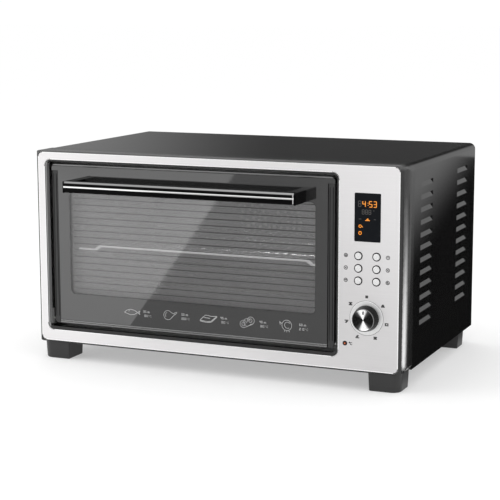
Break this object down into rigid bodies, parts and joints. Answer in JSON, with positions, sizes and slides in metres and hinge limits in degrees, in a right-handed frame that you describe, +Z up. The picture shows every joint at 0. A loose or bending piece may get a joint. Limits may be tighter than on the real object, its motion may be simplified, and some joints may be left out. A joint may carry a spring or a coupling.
{
  "type": "toaster oven",
  "caption": "Counter-top toaster oven with a drop-down glass door, bar handle, wire rack and a control column with display, buttons and knob.",
  "frame": {"origin": "on the surface the feet stand on, under the middle of the bounding box", "axes": "+X to the right of someone facing the door, -Y out of the door, +Z up"},
  "size_m": [0.56, 0.381, 0.306],
  "materials": {
    "frame_black": "gloss black",
    "fascia_steel": "brushed along the width",
    "rim_gloss": "gloss black",
    "cover_paint": "semi-gloss black",
    "galvanised": "galvanised sheet",
    "foot_plastic": "satin black",
    "zinc_screw": "zinc plated",
    "liner_steel": "aluminised sheet",
    "element_sheath": "oxidised sheath",
    "ceramic_white": "unglazed",
    "wire_chrome": "bright plated wire",
    "fan_aluminium": "stamped",
    "motor_steel": "laminated steel",
    "lamp_glass": "clear",
    "display_black": "gloss smoked window",
    "board_green": "circuit board",
    "button_silver": "silver",
    "switch_black": "moulded",
    "knob_metal": "spun face",
    "bezel_chrome": "bright ring",
    "pilot_amber": "translucent amber",
    "door_glass_tint": "smoked",
    "window_print": "clear with printed lines",
    "door_black": "semi-gloss black",
    "handle_metal": "dark bright metal",
    "handle_black": "gloss black"
  },
  "bodies": {
    "casing": {"base_plate": "galvanised", "button_switches": "switch_black", "case_screws": "zinc_screw", "cavity_back": "liner_steel", "cavity_collar": "liner_steel", "cavity_shell": "liner_steel", "control_baffle": "galvanised", "control_board": "board_green", "cord_gland": "foot_plastic", "display_module": "display_black", "display_window": "display_black", "element_insulators": "ceramic_white", "fan_housing": "galvanised", "fan_motor": "motor_steel", "fascia_plate": "fascia_steel", "foot_front_left": "foot_plastic", "foot_front_right": "foot_plastic", "foot_rear_left": "foot_plastic", "foot_rear_right": "foot_plastic", "front_frame": "frame_black", "hinge_brackets": "zinc_screw", "hinge_springs": "zinc_screw", "knob_bezel": "bezel_chrome", "lamp_bulb": "lamp_glass", "lamp_lens": "lamp_glass", "lamp_socket": "ceramic_white", "lower_elements": "element_sheath", "opening_rim": "rim_gloss", "outer_cover": "cover_paint", "pilot_lamp": "pilot_amber", "power_board": "board_green", "rack_rails": "liner_steel", "rear_panel": "galvanised", "rotary_switch": "switch_black", "terminal_block": "ceramic_white", "thermal_cutout": "motor_steel", "transformer": "motor_steel", "upper_elements": "element_sheath"},
    "door": {"door_glass": "door_glass_tint", "window_glass": "window_print", "door_frame": "door_black", "door_rail_left": "door_black", "door_rail_right": "door_black", "door_rail_top": "door_black", "door_rail_bottom": "door_black", "handle_bar": "handle_metal", "handle_arms": "handle_black", "handle_screws": "handle_metal", "hinge_pins": "zinc_screw"},
    "rack": {"wire_rack": "wire_chrome"},
    "tray": {"crumb_tray": "liner_steel"},
    "selector": {"knob": "knob_metal", "knob_shaft": "knob_metal"},
    "fan": {"fan_blade": "fan_aluminium"},
    "push_1": {"button_1": "button_silver"},
    "push_2": {"button_2": "button_silver"},
    "push_3": {"button_3": "button_silver"},
    "push_4": {"button_4": "button_silver"},
    "push_5": {"button_5": "button_silver"},
    "push_6": {"button_6": "button_silver"}
  },
  "joints": [
    {"name": "door_hinge", "type": "hinge", "parent": "casing", "child": "door", "pos_m": [-0.0368, -0.146, 0.059], "axis": [1, 0, 0], "range_deg": [0, 90]},
    {"name": "rack_slide", "type": "slide", "parent": "casing", "child": "rack", "axis": [0, -1, 0], "range_m": [0, 0.126]},
    {"name": "tray_slide", "type": "slide", "parent": "casing", "child": "tray", "axis": [0, -1, 0], "range_m": [0, 0.04]},
    {"name": "selector_turn", "type": "hinge", "parent": "casing", "child": "selector", "pos_m": [0.2281, -0.16, 0.1003], "axis": [0, 1, 0], "continuous": true},
    {"name": "fan_spin", "type": "hinge", "parent": "casing", "child": "fan", "pos_m": [-0.03685, 0.16, 0.174], "axis": [0, 1, 0], "continuous": true},
    {"name": "push_1_press", "type": "slide", "parent": "casing", "child": "push_1", "axis": [0, 1, 0], "range_m": [0, 0.001], "stiffness_N_per_m": 500},
    {"name": "push_2_press", "type": "slide", "parent": "casing", "child": "push_2", "axis": [0, 1, 0], "range_m": [0, 0.001], "stiffness_N_per_m": 500},
    {"name": "push_3_press", "type": "slide", "parent": "casing", "child": "push_3", "axis": [0, 1, 0], "range_m": [0, 0.001], "stiffness_N_per_m": 500},
    {"name": "push_4_press", "type": "slide", "parent": "casing", "child": "push_4", "axis": [0, 1, 0], "range_m": [0, 0.001], "stiffness_N_per_m": 500},
    {"name": "push_5_press", "type": "slide", "parent": "casing", "child": "push_5", "axis": [0, 1, 0], "range_m": [0, 0.001], "stiffness_N_per_m": 500},
    {"name": "push_6_press", "type": "slide", "parent": "casing", "child": "push_6", "axis": [0, 1, 0], "range_m": [0, 0.001], "stiffness_N_per_m": 500}
  ],
  "couplings": [
    {"joint": "rack_slide", "follows": "door_hinge", "m_per_rad": 0.08},
    {"joint": "tray_slide", "follows": "door_hinge", "m_per_rad": 0.025}
  ]
}
